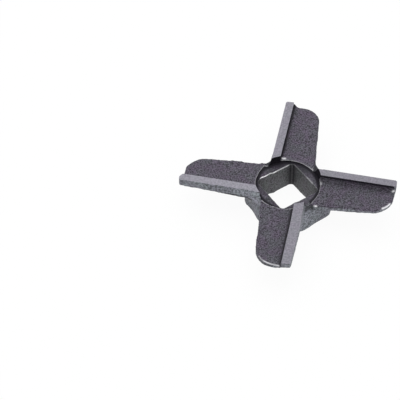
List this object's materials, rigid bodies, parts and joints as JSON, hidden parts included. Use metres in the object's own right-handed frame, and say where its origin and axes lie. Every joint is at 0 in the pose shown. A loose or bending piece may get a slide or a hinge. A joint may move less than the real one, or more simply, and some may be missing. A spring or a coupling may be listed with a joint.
{
  "type": "meat grinder knife",
  "caption": "Four-armed cast knife with ground cutting strips on a square hub with a square drive hole, turned against a grinder's hole plate to cut meat.",
  "frame": {"origin": "centre of the square hub's bottom face, which the knife stands on", "axes": "+Z along the axis of rotation towards the cutting face; the four arms point along +X, +Y, -X and -Y, and the knife turns anticlockwise seen from +Z"},
  "size_m": [0.0486, 0.0486, 0.0091],
  "materials": {
    "cast_steel": "as-cast grain, dark grey"
  },
  "bodies": {
    "root": {"grinder_knife": "cast_steel"}
  },
  "joints": []
}
